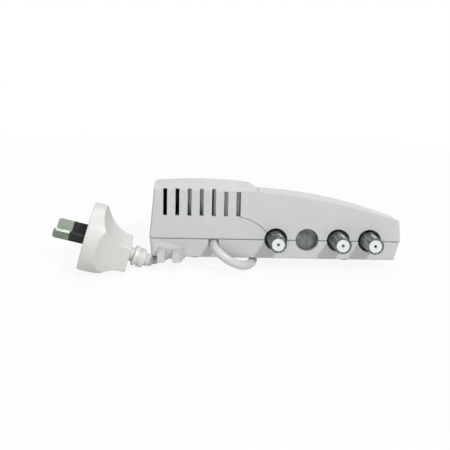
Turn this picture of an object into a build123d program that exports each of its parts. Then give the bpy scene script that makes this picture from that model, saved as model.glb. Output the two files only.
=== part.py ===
"""Indoor television signal amplifier with a moulded mains lead, in millimetres.

+X runs to the right along the socket wall, -Y out of that wall and +Z up. The rubber feet
stand on z = 0. Heights named *_height are measured from the underside of the base, and
depths named *_depth or *_setback from the socket wall, unless their comment says otherwise.
"""
import math
import os

from build123d import *

os.makedirs("parts", exist_ok=True)

# Case
case_length = 145.2
case_depth = 56.0
wall = 2.0
foot_height = 6.0
parting_height = 11.4
seam_reveal = 0.55
seam_gap = 0.3
front_corner_radius = 1.2
back_left_radius = 8.0
back_right_radius = 28.0
left_draft = 0.092
right_draft = 0.105
back_draft = 0.06
base_end_step = 0.35
base_left_taper = 0.95
base_right_taper = 2.75
base_front_taper = 0.6
base_back_taper = 1.5
base_edge_radius = 0.8

# Roof of the covers
crease_left_height = 39.6
shoulder_height = 38.9
shoulder_inset = 62.8
right_crease_height = 22.7
crease_bulge = 2.8
ridge_setback = 12.0
ridge_rise = 0.5
ridge_right_height = 22.5
ridge_bulge = 3.5
roof_fall = 0.285
dome_crown_height = 44.2
dome_left_height = 42.6
dome_right_height = 42.8
dome_shoulder_width = 6.8
dome_bevel_setback = 1.8
cap_mark_length = 5.2
cap_mark_width = 0.7
cap_mark_inset = 54.1
cap_mark_setback = 7.7
cap_mark_floor_height = 42.4

# Seam between the two covers
seam_overlap = 0.1
cap_gap = 0.05
seam_curve_height = 24.1
seam_end_height = 15.4
seam_end_inset = 5.4

# Vent slots over the transformer
vent_count = 7
vent_pitch = 7.0
vent_width = 2.25
first_vent_inset = 9.1
vent_bottom_height = 24.5
vent_top_height = 40.2
short_vent_count = 2
short_vent_drop = 1.4
back_vent_count = 3
back_vent_bottom_height = 16.5
back_vent_top_height = 26.5
vent_screen_reach = 4.0
vent_screen_thickness = 1.6
vent_screen_setback = 5.0
vent_screen_bottom_height = 21.0

# Socket row on the parting line
port_pitch = 18.0
port_right_inset = 18.1
port_count = 4
blank_port = 1
port_hole_diameter = 13.2

# Fixing ears
ear_width = 12.6
ear_left_inset = 5.7
ear_reach = 9.0
ear_root_flare = 3.2
ear_thickness = 5.7
ear_slot_width = 4.3
ear_slot_depth = 6.2
ear_slot_offset = 4.2
ear_slot_corner = 1.0
rear_ear_inset = 34.2

# Rubber feet
foot_diameter = 10.0
foot_toe_diameter = 8.8
foot_spigot_diameter = 4.0
foot_inset = 26.6
foot_front_setback = 21.0
foot_back_setback = 45.0

# Threaded coaxial sockets
collar_diameter = 11.6
collar_reach = 0.4
barrel_diameter = 9.5
barrel_reach = 9.5
barrel_cone_reach = 2.6
tip_chamfer = 0.3
insulator_diameter = 7.3
insulator_recess = 0.25
contact_diameter = 1.9
contact_bore = 1.0
contact_bore_depth = 8.0
contact_tail_diameter = 1.0
contact_lead_diameter = 0.8
tail_diameter = 8.0
tail_length = 3.4
nut_across_flats = 10.0
nut_thickness = 2.0
washer_diameter = 10.4
washer_thickness = 0.5

# Screened box behind the sockets
box_setback = 3.6
box_depth = 18.4
box_left_reach = 9.5
box_bottom_height = 3.0
box_height = 15.6
sheet = 0.6
lid_skirt = 4.0
clearance = 0.15
rf_board_height = 5.4
board_thickness = 1.6
rf_board_setback = 8.4
box_post_diameter = 8.0
box_post_inset = 7.0
box_post_back_inset = 6.0
rf_rest_diameter = 2.8
rf_row_back_offset = 2.0
ferrite_length = 5.0
ferrite_width = 4.0
ferrite_height = 4.6
ferrite_bore = 1.4
rf_transistor_length = 4.6
rf_transistor_width = 2.6
rf_transistor_height = 1.6
rf_chip_length = 2.0
rf_chip_width = 1.25
rf_chip_height = 1.0
rf_chip_pitch = 5.2
rf_chip_count = 9
rf_chip_row_offset = 3.8

# Mains transformer
core_width = 32.0
core_stack = 14.0
core_leg = 12.0
core_window = 6.5
core_yoke = 6.5
core_center_inset = 28.8
core_setback = 12.6
core_bottom_height = 8.5
winding_height = 5.6
bobbin_wall = 0.9

# Steel screen standing in front of the transformer
screen_width = 13.0
screen_height = 39.6
screen_setback = 9.4
screen_thickness = 0.8
screen_offset = 2.2
screen_guide_width = 3.0
screen_guide_height = 6.0
screen_guide_wall = 1.2

# Power board
post_diameter = 6.0
power_board_gap = 6.8
power_board_width = 42.0
power_board_depth = 26.0
power_board_margin = 7.0
power_board_height = 4.6
capacitor_diameter = 12.5
capacitor_height = 18.0
capacitor_left_reach = 10.0

power_post_inset = 4.0
diode_diameter = 2.7
diode_length = 5.0
diode_pitch = 3.6
diode_gap = 4.0
regulator_width = 10.0
regulator_thickness = 4.5
regulator_height = 9.0
regulator_lead_length = 2.0
regulator_gap = 8.0
regulator_back_reach = 3.0
heat_sink_width = 14.0
heat_sink_height = 12.0
heat_sink_thickness = 1.5
heat_sink_fin = 5.0
fuse_diameter = 5.2
fuse_length = 20.0
fuse_height = 3.4
fuse_setback = 3.6
fuse_left_reach = 19.0
clip_length = 4.0
clip_width = 6.4
clip_height = 3.8
component_gap = 0.3

# Screws
screw_diameter = 3.0
screw_head_diameter = 5.6
screw_head_height = 2.0
boss_diameter = 7.0
boss_bore_depth = 9.0
low_boss_height = 11.0
corner_boss_left_inset = 8.4
corner_boss_right_inset = 7.2
front_boss_setback = 6.4
back_boss_inset = 6.2
screw_fit = 0.1
case_screw_sink = 1.0
case_screw_bite = 8.0

# Mains lead
cord_diameter = 5.0
cord_exit_inset = 37.3
cord_exit_height = 8.1
notch_width = 5.8
clamp_setback = 2.8
clamp_width = 5.0
clamp_band = 2.0
clamp_pad = 3.2
clamp_foot_thickness = 3.0
clamp_post_bore_depth = 5.0
clamp_screw_bite = 4.6
wire_diameter = 1.6

# Plug with two flat pins
plug_reach = 34.5
plug_front = 6.0
plug_z = 20.25
plug_pitch_angle = 15.5
plug_yaw_angle = 7.5
plug_roll_angle = 4.0
flange_diameter = 37.8
flange_thickness = 7.0
flange_foot = 0.3
neck_distance = 26.0
neck_height = 14.6
neck_depth = 20.5
neck_drop = 4.7
pin_length = 17.3
pin_width = 6.35
pin_thickness = 1.6
pin_spacing = 13.7
pin_angle = 30.0
pin_tip_radius = 1.6
pin_sleeve_length = 8.6
pin_sleeve_wall = 0.3
pin_root = 6.0

# Levels and edges that follow from the sizes above
base_z = foot_height
parting_z = base_z + parting_height
front_y = -(case_depth + ear_reach - max(barrel_reach, ear_reach)) / 2
back_y = front_y + case_depth
half_length = case_length / 2
ridge_y = front_y + ridge_setback
shoulder_x = -half_length + shoulder_inset
first_vent_x = -half_length + first_vent_inset
last_vent_edge_x = first_vent_x + (vent_count - 1) * vent_pitch + vent_width / 2
seam_x = last_vent_edge_x - seam_overlap
cord_exit_x = -half_length + cord_exit_inset
core_center_x = -half_length + core_center_inset
ear_left_x = -half_length + ear_left_inset
rear_ear_x = half_length - rear_ear_inset
foot_x = half_length - foot_inset
fall_direction = (0, math.cos(math.atan(roof_fall)), -math.sin(math.atan(roof_fall)))
overrun = 6.0
fall_run = (case_depth - ridge_setback + overrun) / fall_direction[1]
crown_z = base_z + dome_crown_height
last_port_x = half_length - port_right_inset
port_xs = [last_port_x - (port_count - 1 - index) * port_pitch for index in range(port_count)]
socket_xs = [x for index, x in enumerate(port_xs) if index != blank_port]
box_front_y = front_y + box_setback
box_left_x = port_xs[0] - box_left_reach
box_right_x = port_xs[-1] + washer_diameter / 2 + sheet + clearance
core_length = core_leg + 2 * core_window + 2 * core_yoke
box_z = base_z + box_bottom_height
floor_z = base_z + wall


def save(solid, name):
    """Label a finished piece and write it under its own name."""
    solid.label = name
    export_step(solid, f"parts/{name}.step")


def corner_fillet(outline, x, y, radius):
    """Round the corner of a flat outline that lies nearest to a point."""
    if radius > 0:
        fillet(outline.vertices().sort_by_distance((x, y, 0))[0], radius)


def plan(z, left, right, front, back, inset=0.0):
    """Case outline seen from above, with its one large back right corner."""
    x0, x1 = left + inset, right - inset
    y0, y1 = front + inset, back - inset
    with BuildSketch(Plane.XY.offset(z)) as outline:
        with BuildLine():
            Polyline((x0, y0), (x1, y0), (x1, y1), (x0, y1), close=True)
        make_face()
        corner_fillet(outline, x1, y1, back_right_radius - inset)
        corner_fillet(outline, x0, y1, back_left_radius - inset)
        corner_fillet(outline, x0, y0, max(front_corner_radius - inset, 0.3))
        corner_fillet(outline, x1, y0, max(front_corner_radius - inset, 0.3))
    return outline.sketch


def cover_plan(z, inset=0.0):
    """Plan of the covers at a height; their end and back walls lean inwards."""
    rise = z - parting_z
    return plan(
        z,
        -half_length + left_draft * rise,
        half_length - right_draft * rise,
        front_y,
        back_y - back_draft * rise,
        inset,
    )


def base_plan(z, inset=0.0):
    """Plan of the base at a height; it narrows to the underside."""
    share = (parting_z - z) / parting_height
    return plan(
        z,
        -half_length + base_end_step + base_left_taper * share,
        half_length - base_end_step - base_right_taper * share,
        front_y + base_front_taper * share,
        back_y - base_back_taper * share,
        inset,
    )


def between(lower, upper):
    """Solid with straight sides between two plans."""
    with BuildPart() as block:
        loft([lower.face(), upper.face()], ruled=True)
    return block.part


def roof_outline(y, left, shoulder, right, bulge):
    """Everything under the roof line at one depth, as a face in the XZ plane."""
    low = -case_depth
    far_left = -half_length - overrun
    with BuildSketch(Plane.XZ.offset(-y)) as outline:
        with BuildLine():
            Line((far_left, left), (shoulder_x, shoulder))
            middle_x = (shoulder_x + half_length) / 2
            middle_z = (shoulder + right) / 2 + bulge
            ThreePointArc((shoulder_x, shoulder), (middle_x, middle_z), (half_length, right))
            Polyline(
                (half_length, right),
                (half_length + overrun, right),
                (half_length + overrun, low),
                (far_left, low),
                (far_left, left),
            )
        make_face()
    return outline.sketch


def main_roof(drop=0.0):
    """Space under the long roof, which falls to the right and, behind its ridge, to the back.

    Its front section stands ahead of the socket wall, so the wall cuts the roof cleanly.
    """
    lift = base_z - drop
    ahead = overrun / ridge_setback
    front = roof_outline(
        front_y - overrun,
        crease_left_height + lift,
        shoulder_height - ahead * ridge_rise + lift,
        right_crease_height + ahead * (right_crease_height - ridge_right_height) + lift,
        crease_bulge - ahead * (ridge_bulge - crease_bulge),
    )
    ridge = roof_outline(
        ridge_y,
        crease_left_height + lift,
        shoulder_height + ridge_rise + lift,
        ridge_right_height + lift,
        ridge_bulge,
    )
    with BuildPart() as roof:
        loft([front.face(), ridge.face()], ruled=True)
        extrude(ridge.face(), amount=fall_run, dir=fall_direction)
    return roof.part


def dome_outline(y, drop):
    """Outline of the raised cap over the transformer at one depth, in the XZ plane."""
    lift = base_z - drop
    far_left = -half_length - overrun
    low = -case_depth
    crown_x = (-half_length + seam_x) / 2
    shoulder = (shoulder_x, shoulder_height + lift)
    brow = (shoulder_x - dome_shoulder_width, dome_right_height + lift)
    brow_middle = ((brow[0] + shoulder[0]) / 2 + 0.5, (brow[1] + shoulder[1]) / 2 + 0.55)
    left_end = (-half_length, dome_left_height + lift)
    with BuildSketch(Plane.XZ.offset(-y)) as outline:
        with BuildLine():
            ThreePointArc(left_end, (crown_x, dome_crown_height + lift), brow)
            ThreePointArc(brow, brow_middle, shoulder)
            Polyline(
                shoulder,
                (shoulder_x, low),
                (far_left, low),
                (far_left, dome_left_height + lift),
                left_end,
            )
        make_face()
    return outline.sketch


def transformer_outline(y, grow):
    """Outline of what belongs to the left cover at one depth, in the XZ plane.

    The gap it leaves when grown is kept small where the cap rests on the main cover.
    """
    far_left = -half_length - overrun
    crease = base_z + shoulder_height + max(grow - cap_gap, 0.0)
    curve_start = (seam_x, base_z + seam_curve_height)
    curve_end = (port_xs[0] - seam_end_inset, base_z + seam_end_height)
    curve_middle = (
        (curve_start[0] + curve_end[0]) / 2 + 0.9,
        (curve_start[1] + curve_end[1]) / 2 + 1.3,
    )
    with BuildSketch(Plane.XZ.offset(-y)) as outline:
        with BuildLine():
            Polyline(
                curve_start,
                (seam_x, crease),
                (shoulder_x, crease),
                (shoulder_x, crown_z + overrun),
                (far_left, crown_z + overrun),
                (far_left, -case_depth),
                (port_xs[0], -case_depth),
                (port_xs[0], parting_z),
                curve_end,
            )
            ThreePointArc(curve_start, curve_middle, curve_end)
        make_face()
        if grow > 0:
            offset(amount=grow, kind=Kind.INTERSECTION, mode=Mode.REPLACE)
    return outline.sketch


def falling_prism(outline, size):
    """Solid whose outline runs level from the socket wall to the ridge and then falls."""
    with BuildPart() as prism:
        extrude(outline(front_y - overrun, size).face(), amount=-(ridge_setback + overrun))
        extrude(outline(ridge_y, size).face(), amount=fall_run, dir=fall_direction)
    return prism.part


def bevelled_front(inset):
    """Space behind the steep bevel along the front of the cap."""
    with BuildPart() as space:
        with BuildSketch(Plane.YZ.offset(-half_length - overrun)):
            with BuildLine():
                start = front_y + inset
                foot = base_z + shoulder_height
                Polyline(
                    (start, -case_depth),
                    (start, foot),
                    (start + dome_bevel_setback, crown_z),
                    (start + 2 * dome_bevel_setback, 2 * crown_z - foot),
                    (back_y + overrun, 2 * crown_z - foot),
                    (back_y + overrun, -case_depth),
                    close=True,
                )
            make_face()
        extrude(amount=case_length + 2 * overrun)
    return space.part


def dome_volume(inset):
    """Space under the raised cap, with its bevelled front."""
    with BuildPart() as dome:
        add(falling_prism(dome_outline, inset))
        add(bevelled_front(inset), mode=Mode.INTERSECT)
    return dome.part


def upper_volume(inset):
    """All the space inside the two covers, drawn in from their outside by inset."""
    bottom = parting_z if inset == 0 else parting_z - 1.0
    with BuildPart() as volume:
        add(main_roof(inset))
        add(dome_volume(inset))
        add(
            between(cover_plan(bottom, inset), cover_plan(crown_z + 1.0, inset)),
            mode=Mode.INTERSECT,
        )
    return volume.part


# The covers: one shell, cut along the seam into a transformer cover and a main cover
outer_volume = upper_volume(0.0)
inner_volume = upper_volume(wall)
rib_volume = upper_volume(wall / 2)

left_boss_x = -half_length + corner_boss_left_inset
right_boss_x = half_length - corner_boss_right_inset
front_boss_y = front_y + front_boss_setback
back_boss_y = back_y - back_boss_inset
power_left = core_center_x + core_length / 2 + power_board_gap
power_right = power_left + power_board_width
main_back_boss_x = power_right + power_board_margin + boss_diameter / 2
transformer_bosses = [(left_boss_x, front_boss_y), (left_boss_x, back_boss_y)]
main_bosses = [(right_boss_x, front_boss_y), (main_back_boss_x, back_boss_y)]

with BuildPart() as upper_shell:
    add(outer_volume)
    add(inner_volume, mode=Mode.SUBTRACT)
    tongue_rebate = 1.3
    add(
        between(
            cover_plan(parting_z - 1.0, wall / 2),
            cover_plan(parting_z + tongue_rebate, wall / 2),
        ),
        mode=Mode.SUBTRACT,
    )
    with BuildSketch(Plane.XZ.offset(-front_y + 1.0)):
        with Locations(*[(x, parting_z) for x in port_xs]):
            Circle(port_hole_diameter / 2)
    extrude(amount=-(wall + 2.0), mode=Mode.SUBTRACT)


def roof_columns(bosses):
    """Round bosses from the parting plane up into the roof."""
    with BuildPart() as columns:
        with BuildSketch(Plane.XY.offset(parting_z)):
            with Locations(*bosses):
                Circle(boss_diameter / 2)
        extrude(amount=crown_z - parting_z)
        add(rib_volume, mode=Mode.INTERSECT)
    return columns.part


def corner_column():
    """Low boss in the front left corner, webbed to both walls below the air slots."""
    x, y = left_boss_x, front_boss_y
    with BuildPart() as column:
        with BuildSketch(Plane.XY.offset(parting_z)):
            with Locations((x, y)):
                Circle(boss_diameter / 2)
        extrude(amount=low_boss_height)
        with BuildSketch(Plane.XY.offset(parting_z + tongue_rebate)):
            with Locations((x - boss_diameter / 2, y)):
                Rectangle(boss_diameter, wall)
            with Locations((x, y - boss_diameter / 2)):
                Rectangle(wall, boss_diameter)
        extrude(amount=low_boss_height - tongue_rebate)
        add(rib_volume, mode=Mode.INTERSECT)
    return column.part


def vent_screen():
    """Rib under the cap, behind the last two air slots."""
    bottom = base_z + vent_screen_bottom_height
    left = last_vent_edge_x - vent_pitch - vent_width - vent_screen_reach / 2
    with BuildPart() as screen:
        with BuildSketch(Plane.XY.offset(bottom)):
            with Locations(((left + seam_x) / 2, front_y + vent_screen_setback)):
                Rectangle(seam_x - left + 2 * vent_screen_reach, vent_screen_thickness)
        extrude(amount=crown_z - bottom)
        add(rib_volume, mode=Mode.INTERSECT)
    return screen.part


def cover_with_bosses(region_mode, region, bosses, inner_forms):
    """One cover cut from the shell, with its bosses and ribs."""
    with BuildPart() as cover:
        add(upper_shell.part)
        for form in inner_forms:
            add(form)
        with BuildSketch(Plane.XY.offset(parting_z)):
            with Locations(*bosses):
                Circle(screw_diameter / 2 + screw_fit)
        extrude(amount=boss_bore_depth, mode=Mode.SUBTRACT)
        add(region, mode=region_mode)
    return cover.part


transformer_region = falling_prism(transformer_outline, 0.0)
grown_region = falling_prism(transformer_outline, seam_gap)

left_cover = cover_with_bosses(
    Mode.INTERSECT,
    transformer_region,
    transformer_bosses,
    [corner_column(), roof_columns(transformer_bosses[1:]), vent_screen()],
)
main_cover = cover_with_bosses(
    Mode.SUBTRACT, grown_region, main_bosses, [roof_columns(main_bosses)]
)

with BuildPart() as transformer_cover:
    add(left_cover)
    for index in range(vent_count):
        vent_x = first_vent_x + index * vent_pitch
        top = vent_top_height
        if index >= vent_count - short_vent_count:
            top -= short_vent_drop
        middle = base_z + (top + vent_bottom_height) / 2
        with BuildSketch(Plane.XZ.offset(-front_y + 1.0)):
            with Locations((vent_x, middle)):
                Rectangle(vent_width, top - vent_bottom_height)
        extrude(amount=-(wall + 1.0 + dome_bevel_setback), mode=Mode.SUBTRACT)
    back_middle = base_z + (back_vent_top_height + back_vent_bottom_height) / 2
    with BuildSketch(Plane.XZ.offset(-back_y - 1.0)):
        for index in range(1, back_vent_count + 1):
            with Locations((first_vent_x + index * vent_pitch, back_middle)):
                Rectangle(vent_width, back_vent_top_height - back_vent_bottom_height)
    extrude(amount=wall + 3.4, mode=Mode.SUBTRACT)
    # Short sunk mark on top of the cap
    with BuildSketch(Plane.XY.offset(base_z + cap_mark_floor_height)):
        with Locations((-half_length + cap_mark_inset, front_y + cap_mark_setback)):
            Rectangle(cap_mark_length, cap_mark_width)
    extrude(amount=overrun, mode=Mode.SUBTRACT)

save(transformer_cover.part, "transformer_cover")
save(main_cover, "main_cover")


# The base shell, with its ears, bosses, posts and cord notch
def ear_slot():
    """Open slot of the front ear, with rounded corners at its closed end."""
    tip_y = front_y - ear_reach
    slot_left = ear_left_x + ear_slot_offset
    slot_right = slot_left + ear_slot_width
    slot_end = tip_y + ear_slot_depth
    with BuildSketch(Plane.XY.offset(base_z)) as slot:
        with BuildLine():
            Polyline((slot_left, tip_y - 1), (slot_right, tip_y - 1),
                     (slot_right, slot_end), (slot_left, slot_end), close=True)
        make_face()
        fillet(slot.vertices().group_by(Axis.Y)[-1], ear_slot_corner)
    return slot.sketch


def ear_outline():
    """Plan of the front fixing ear with its open slot."""
    tip_y = front_y - ear_reach
    root_y = front_y + base_front_taper + wall / 2
    right = ear_left_x + ear_width
    with BuildSketch(Plane.XY.offset(base_z)) as ear:
        with BuildLine():
            Polyline((ear_left_x, tip_y), (right, tip_y), (right + ear_root_flare, root_y),
                     (ear_left_x, root_y), close=True)
        make_face()
        add(ear_slot(), mode=Mode.SUBTRACT)
    return ear.sketch


def tongue():
    """Thin ring of the base that stands inside the covers."""
    outer = wall / 2 + clearance
    with BuildPart() as ring:
        add(between(base_plan(lip_z - 1.0, outer), cover_plan(parting_z + 1.0, outer)))
        add(
            between(base_plan(lip_z - 1.5, wall), cover_plan(parting_z + 1.5, wall)),
            mode=Mode.SUBTRACT,
        )
    return ring.part


core_posts_x = core_length / 2 - core_yoke / 2
core_posts_y = core_width / 2 - core_yoke / 2
core_center_y = front_y + core_setback + core_width / 2
lid_back_y = box_front_y + box_depth + clearance + sheet
board_level_share = 1 - power_board_height / parting_height
back_wall_y = back_y - wall - base_back_taper * board_level_share
power_center_y = (lid_back_y + back_wall_y) / 2
power_front_y = power_center_y - power_board_depth / 2
power_back_y = power_center_y + power_board_depth / 2
power_posts = [
    (power_left + power_post_inset, power_front_y + power_post_inset),
    (power_right - power_post_inset, power_front_y + power_post_inset),
    (power_left + power_post_inset, power_back_y - power_post_inset),
]
box_post_y = box_front_y + box_depth - box_post_back_inset
box_posts = [
    (box_left_x + box_post_inset, box_post_y),
    (box_right_x - box_post_inset, box_post_y),
]
screen_x = core_center_x - screen_offset
screen_y = front_y + screen_setback
clamp_y = front_y + clamp_setback + clamp_width / 2
clamp_screw_offset = cord_diameter / 2 + clamp_band + screw_head_diameter / 2 + component_gap
clamp_posts = [
    (cord_exit_x - clamp_screw_offset, clamp_y),
    (cord_exit_x + clamp_screw_offset, clamp_y),
]
clamp_length = 2 * (clamp_screw_offset + clamp_pad)
cord_exit_z = base_z + cord_exit_height
clamp_seat_z = cord_exit_z - cord_diameter / 2
foot_points = [
    (x, front_y + setback)
    for x in (-foot_x, foot_x)
    for setback in (foot_front_setback, foot_back_setback)
]

with BuildPart() as ear:
    extrude(ear_outline().face(), amount=ear_thickness)

ear_turn = Location((rear_ear_x + ear_left_x, front_y + back_y, 0), (0, 0, 180))
lip_z = parting_z - seam_reveal
with BuildPart() as lower_shell:
    add(between(base_plan(base_z), base_plan(lip_z)))
    fillet(lower_shell.faces().sort_by(Axis.Z)[0].edges(), base_edge_radius)
    add(between(base_plan(floor_z, wall), base_plan(parting_z, wall)), mode=Mode.SUBTRACT)
    add(tongue())
    # Fixing ears: the rear one is the front one turned round
    add(ear.part)
    add(ear_turn * ear.part)
    # Case screw bosses, with their heads sunk into the underside
    with BuildSketch(Plane.XY.offset(base_z + base_edge_radius)):
        with Locations(*transformer_bosses, *main_bosses):
            Circle(boss_diameter / 2)
    extrude(amount=parting_height - base_edge_radius)
    # Transformer posts
    with BuildSketch(Plane.XY.offset(floor_z)):
        with Locations((core_center_x, core_center_y)):
            with GridLocations(2 * core_posts_x, 2 * core_posts_y, 2, 2):
                Circle(core_yoke / 2)
    extrude(amount=core_bottom_height - wall)
    # Power board, screened box and cord clamp posts
    with BuildSketch(Plane.XY.offset(floor_z)):
        with Locations(*power_posts):
            Circle(post_diameter / 2)
    extrude(amount=power_board_height - wall)
    with BuildSketch(Plane.XY.offset(floor_z)):
        with Locations(*box_posts):
            Circle(box_post_diameter / 2)
    extrude(amount=box_bottom_height - wall)
    with BuildSketch(Plane.XY.offset(floor_z)):
        with Locations((cord_exit_x, clamp_y)):
            Rectangle(clamp_length, clamp_width)
    extrude(amount=clamp_seat_z - floor_z)
    # Guides that hold the steel screen upright
    with BuildSketch(Plane.XY.offset(floor_z)):
        with Locations((screen_x, screen_y)):
            with GridLocations(screen_width, 1.0, 2, 1):
                Rectangle(screen_guide_width, screen_thickness + 2 * screen_guide_wall)
            slot_width = screen_thickness + 2 * screw_fit
            Rectangle(screen_width + 2 * screw_fit, slot_width, mode=Mode.SUBTRACT)
    extrude(amount=screen_guide_height)
    # Screw holes, with the case screw heads sunk into the underside
    with BuildSketch(Plane.XY.offset(base_z)):
        with Locations(*transformer_bosses, *main_bosses):
            Circle(screw_head_diameter / 2 + component_gap)
    extrude(amount=screw_head_height + case_screw_sink, mode=Mode.SUBTRACT)
    with BuildSketch(Plane.XY.offset(base_z)):
        with Locations(*transformer_bosses, *main_bosses):
            Circle(screw_diameter / 2 + screw_fit)
    extrude(amount=parting_height + wall, mode=Mode.SUBTRACT)
    with BuildSketch(Plane.XY.offset(base_z + core_bottom_height)):
        with Locations((core_center_x, core_center_y)):
            with GridLocations(2 * core_posts_x, 2 * core_posts_y, 2, 2):
                Circle(screw_diameter / 2 + screw_fit)
    extrude(amount=wall - core_bottom_height, mode=Mode.SUBTRACT)
    with BuildSketch(Plane.XY.offset(base_z + power_board_height)):
        with Locations(*power_posts):
            Circle(screw_diameter / 2 + screw_fit)
    extrude(amount=1.0 - power_board_height, mode=Mode.SUBTRACT)
    with BuildSketch(Plane.XY.offset(box_z)):
        with Locations(*box_posts):
            Circle(screw_diameter / 2 + screw_fit)
    extrude(amount=0.8 - box_bottom_height, mode=Mode.SUBTRACT)
    with BuildSketch(Plane.XY.offset(clamp_seat_z)):
        with Locations(*clamp_posts):
            Circle(screw_diameter / 2 + screw_fit)
    extrude(amount=-clamp_post_bore_depth, mode=Mode.SUBTRACT)
    with BuildSketch(Plane.XY.offset(base_z)):
        with Locations(*foot_points):
            Circle(foot_spigot_diameter / 2 + clearance)
    extrude(amount=wall, mode=Mode.SUBTRACT)
    # Socket row and cord notch through the front wall
    with BuildSketch(Plane.XZ.offset(-front_y + 1.0)):
        with Locations(*[(x, parting_z) for x in port_xs]):
            Circle(port_hole_diameter / 2)
        with Locations((cord_exit_x, cord_exit_z)):
            Circle(notch_width / 2)
        with Locations((cord_exit_x, cord_exit_z + parting_height / 2)):
            Rectangle(notch_width, parting_height)
    extrude(amount=-(wall + base_front_taper + 1.4), mode=Mode.SUBTRACT)
    # Air inlets under the transformer
    with BuildSketch(Plane.XY.offset(base_z)):
        with Locations((core_center_x, core_center_y)):
            with GridLocations(6.0, 1.0, 4, 1):
                SlotOverall(14.0, vent_width, rotation=90)
    extrude(amount=wall, mode=Mode.SUBTRACT)

save(lower_shell.part, "lower_shell")

# Rubber feet, pushed into the base by their spigots
with BuildPart() as rubber_feet:
    for x, y in foot_points:
        with BuildSketch(Plane.XY):
            with Locations((x, y)):
                Circle(foot_toe_diameter / 2)
        with BuildSketch(Plane.XY.offset(foot_height)):
            with Locations((x, y)):
                Circle(foot_diameter / 2)
        loft(ruled=True)
        with BuildSketch(Plane.XY.offset(foot_height)):
            with Locations((x, y)):
                Circle(foot_spigot_diameter / 2)
        extrude(amount=wall)

save(rubber_feet.part, "rubber_feet")


def screw_group(points, head_bottom, shank_length, upwards):
    """Pan-head screws on one level, with their shanks pointing up or down."""
    turn = 1 if upwards else -1
    seat = head_bottom + screw_head_height if upwards else head_bottom
    with BuildPart() as screws:
        with BuildSketch(Plane.XY.offset(head_bottom)):
            with Locations(*points):
                Circle(screw_head_diameter / 2)
        extrude(amount=screw_head_height)
        with BuildSketch(Plane.XY.offset(seat)):
            with Locations(*points):
                Circle(screw_diameter / 2)
        extrude(amount=turn * shank_length)
        cross_z = head_bottom if upwards else head_bottom + screw_head_height
        with BuildSketch(Plane.XY.offset(cross_z)):
            with Locations(*points):
                Rectangle(3.2, 0.8)
                Rectangle(0.8, 3.2)
        extrude(amount=turn * 0.9, mode=Mode.SUBTRACT)
    return screws.part


case_screw_head_z = base_z + case_screw_sink
case_screw_length = parting_z + case_screw_bite - case_screw_head_z - screw_head_height
save(
    screw_group(transformer_bosses + main_bosses, case_screw_head_z, case_screw_length, True),
    "case_screws",
)

# Screened box: tray, lid, board and screws
box_width = box_right_x - box_left_x
box_center_x = (box_left_x + box_right_x) / 2
box_center_y = box_front_y + box_depth / 2
rf_board_z = base_z + rf_board_height
rf_board_front = front_y + rf_board_setback
rf_board_back = box_front_y + box_depth - sheet - 0.6
rf_board_left = box_left_x + sheet + 0.6
rf_board_right = box_right_x - sheet - 0.6
rf_rests = [
    (rf_board_left + 2.6, rf_board_front + 2.0),
    (rf_board_right - 2.6, rf_board_front + 2.0),
    (box_center_x, rf_board_back - 2.0),
]

with BuildPart() as rf_box:
    with BuildSketch(Plane.XY.offset(box_z)):
        with Locations((box_center_x, box_center_y)):
            Rectangle(box_width, box_depth)
    extrude(amount=box_height - sheet)
    with BuildSketch(Plane.XY.offset(box_z + sheet)):
        with Locations((box_center_x, box_center_y)):
            Rectangle(box_width - 2 * sheet, box_depth - 2 * sheet)
    extrude(amount=box_height, mode=Mode.SUBTRACT)
    with BuildSketch(Plane.XY.offset(box_z)):
        with Locations(*rf_rests):
            Circle(rf_rest_diameter / 2)
    extrude(amount=rf_board_z - box_z)
    with BuildSketch(Plane.XY.offset(box_z)):
        with Locations(*box_posts):
            Circle(screw_diameter / 2 + screw_fit)
    extrude(amount=sheet, mode=Mode.SUBTRACT)
    with BuildSketch(Plane.XZ.offset(-box_front_y)):
        with Locations(*[(x, parting_z) for x in socket_xs]):
            Circle(tail_diameter / 2 + screw_fit)
    extrude(amount=-sheet, mode=Mode.SUBTRACT)

save(rf_box.part, "rf_box")

with BuildPart() as rf_box_lid:
    lid_z = box_z + box_height - sheet
    skirt_width = box_width + 2 * (sheet + clearance)
    skirt_back = box_front_y + box_depth + clearance
    with BuildSketch(Plane.XY.offset(lid_z)):
        with Locations((box_center_x, (box_front_y + skirt_back + sheet) / 2)):
            Rectangle(skirt_width, skirt_back + sheet - box_front_y)
    extrude(amount=sheet)
    with BuildSketch(Plane.XY.offset(lid_z)):
        with Locations((box_center_x, (box_front_y + skirt_back + sheet) / 2)):
            Rectangle(skirt_width, skirt_back + sheet - box_front_y)
        with Locations((box_center_x, (box_front_y + skirt_back) / 2)):
            inner_depth = skirt_back - box_front_y
            Rectangle(box_width + 2 * clearance, inner_depth, mode=Mode.SUBTRACT)
    extrude(amount=-lid_skirt)

save(rf_box_lid.part, "rf_box_lid")
save(screw_group(box_posts, box_z + sheet, 2.4, False), "rf_box_screws")

with BuildPart() as rf_board:
    with BuildSketch(Plane.XY.offset(rf_board_z)):
        with Locations(((rf_board_left + rf_board_right) / 2, (rf_board_front + rf_board_back) / 2)):
            Rectangle(rf_board_right - rf_board_left, rf_board_back - rf_board_front)
        with Locations(*box_posts):
            Circle(screw_head_diameter / 2 + 0.4, mode=Mode.SUBTRACT)
    extrude(amount=board_thickness)

save(rf_board.part, "rf_board")

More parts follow.
